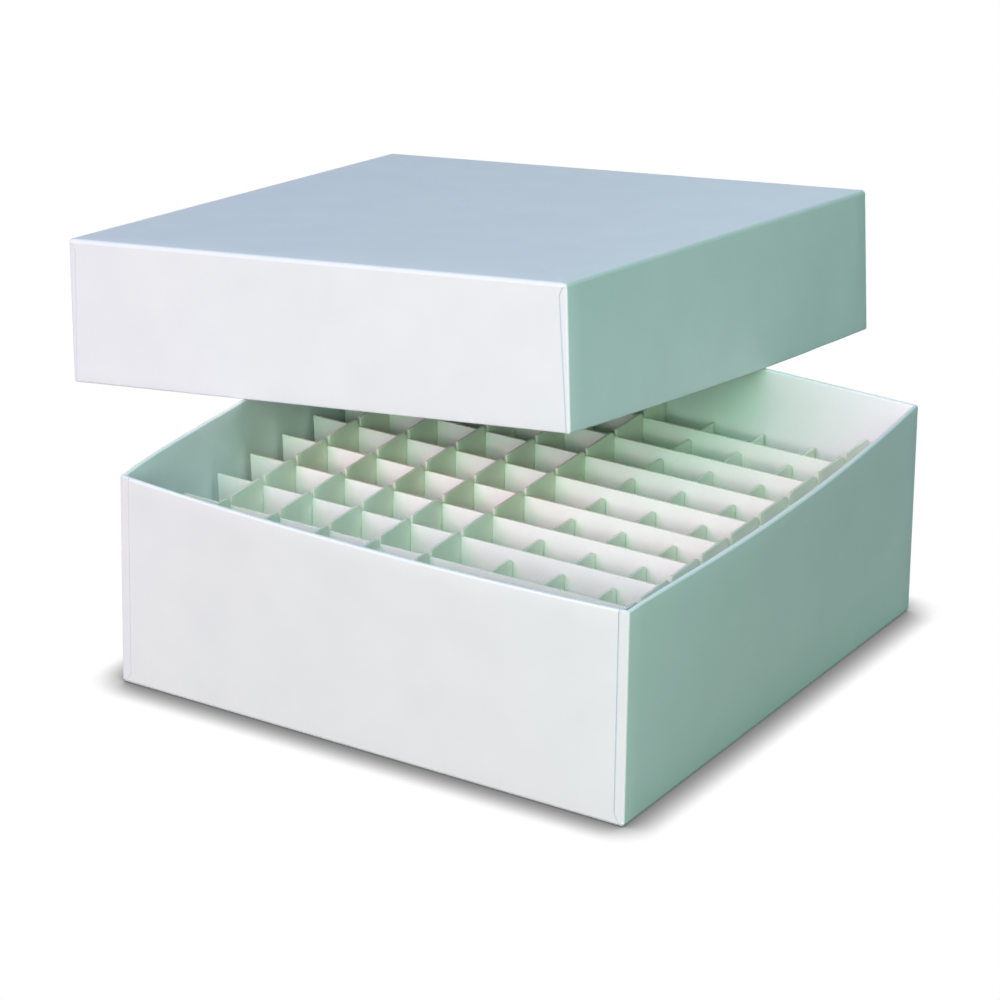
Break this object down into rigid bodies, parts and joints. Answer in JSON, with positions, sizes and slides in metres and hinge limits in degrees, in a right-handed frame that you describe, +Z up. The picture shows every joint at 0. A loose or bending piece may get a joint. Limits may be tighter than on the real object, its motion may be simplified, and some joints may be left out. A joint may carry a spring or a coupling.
{
  "type": "cardboard freezer box",
  "caption": "Square white cardboard freezer box with a slotted strip divider forming a grid of cells and a lift-off lid standing ajar on its rims.",
  "frame": {"origin": "middle of the underside of the base tray", "axes": "+Z up out of the base, +X to the right wall, +Y to the back wall; row strips run along X and column strips along Y"},
  "size_m": [0.1842, 0.1876, 0.0968],
  "materials": {
    "coated_board": "smooth white coated paper over board",
    "divider_board": "uncoated off-white solid board, die cut"
  },
  "bodies": {
    "base": {"base_tray": "coated_board", "row_strip_1": "divider_board", "row_strip_2": "divider_board", "row_strip_3": "divider_board", "row_strip_4": "divider_board", "row_strip_5": "divider_board", "row_strip_6": "divider_board", "row_strip_7": "divider_board", "row_strip_8": "divider_board", "row_strip_9": "divider_board", "column_strip_1": "divider_board", "column_strip_2": "divider_board", "column_strip_3": "divider_board", "column_strip_4": "divider_board", "column_strip_5": "divider_board", "column_strip_6": "divider_board", "column_strip_7": "divider_board", "column_strip_8": "divider_board", "column_strip_9": "divider_board"},
    "lid": {"lid_tray": "coated_board"}
  },
  "joints": [
    {"name": "lid_lift", "type": "slide", "parent": "base", "child": "lid", "axis": [0, 0, 1], "range_m": [0, 0.08]}
  ]
}
